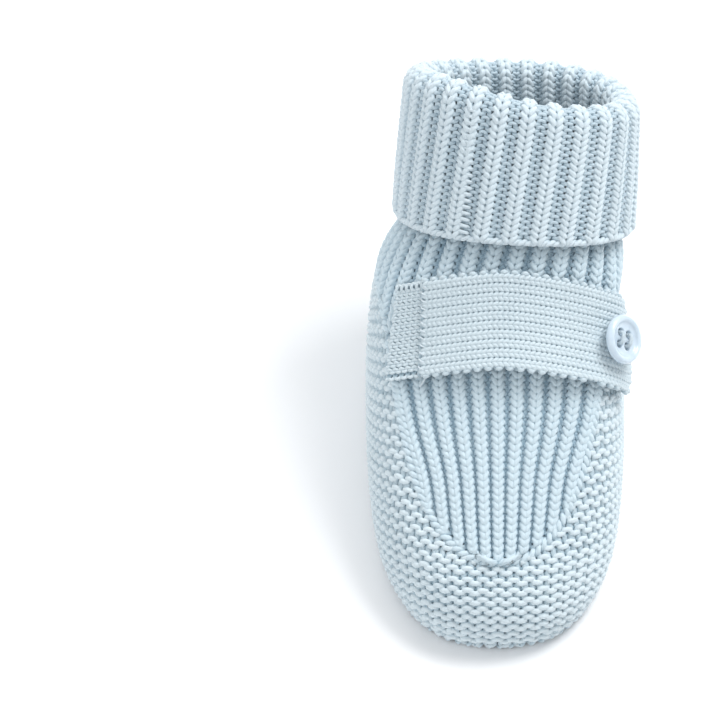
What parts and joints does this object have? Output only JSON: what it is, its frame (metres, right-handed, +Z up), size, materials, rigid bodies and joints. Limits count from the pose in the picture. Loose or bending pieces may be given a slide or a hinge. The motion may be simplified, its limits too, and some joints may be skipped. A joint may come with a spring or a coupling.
{
  "type": "baby bootie",
  "caption": "Knitted baby bootie with a ribbed leg, a turned-down rib cuff, a garter-stitch foot and a buttoned strap over the instep.",
  "frame": {"origin": "on the floor under the foot, on the foot's middle line, where the sole rests", "axes": "+Z up, -Y towards the toe, +X towards the buttoned side"},
  "size_m": [0.0556, 0.1127, 0.0798],
  "materials": {
    "garter_knit": "matte cotton garter stitch",
    "rib_knit": "matte cotton one-by-one rib",
    "strap_knit": "matte cotton stocking stitch",
    "seam_yarn": "matte cotton yarn",
    "sewing_thread": "matte thread",
    "button_plastic": "glossy moulded plastic"
  },
  "bodies": {
    "bootie": {"garter_foot_wall": "garter_knit", "garter_sole": "garter_knit", "sole_seam": "seam_yarn", "instep_rib_panel": "rib_knit", "instep_seam": "seam_yarn", "leg_rib_tube": "rib_knit", "ankle_seam": "seam_yarn", "strap_tab": "strap_knit", "strap_root_stitching": "sewing_thread", "button": "button_plastic", "button_thread": "sewing_thread"},
    "strap": {"strap_band": "strap_knit", "strap_end": "strap_knit", "buttonhole_edging": "seam_yarn"},
    "cuff": {"turned_cuff": "rib_knit", "cuff_bind_off_edge": "rib_knit", "cuff_seam": "seam_yarn"}
  },
  "joints": [
    {"name": "strap_swing", "type": "hinge", "parent": "bootie", "child": "strap", "pos_m": [-0.01507, -0.00094, 0.04519], "axis": [-0.0497, -0.7833, -0.6197], "range_deg": [0, 135], "deforming": ["strap_end", "buttonhole_edging"]},
    {"name": "cuff_turn_up", "type": "slide", "parent": "bootie", "child": "cuff", "axis": [0.056, 0.608, 0.792], "range_m": [0, 0.021]}
  ]
}
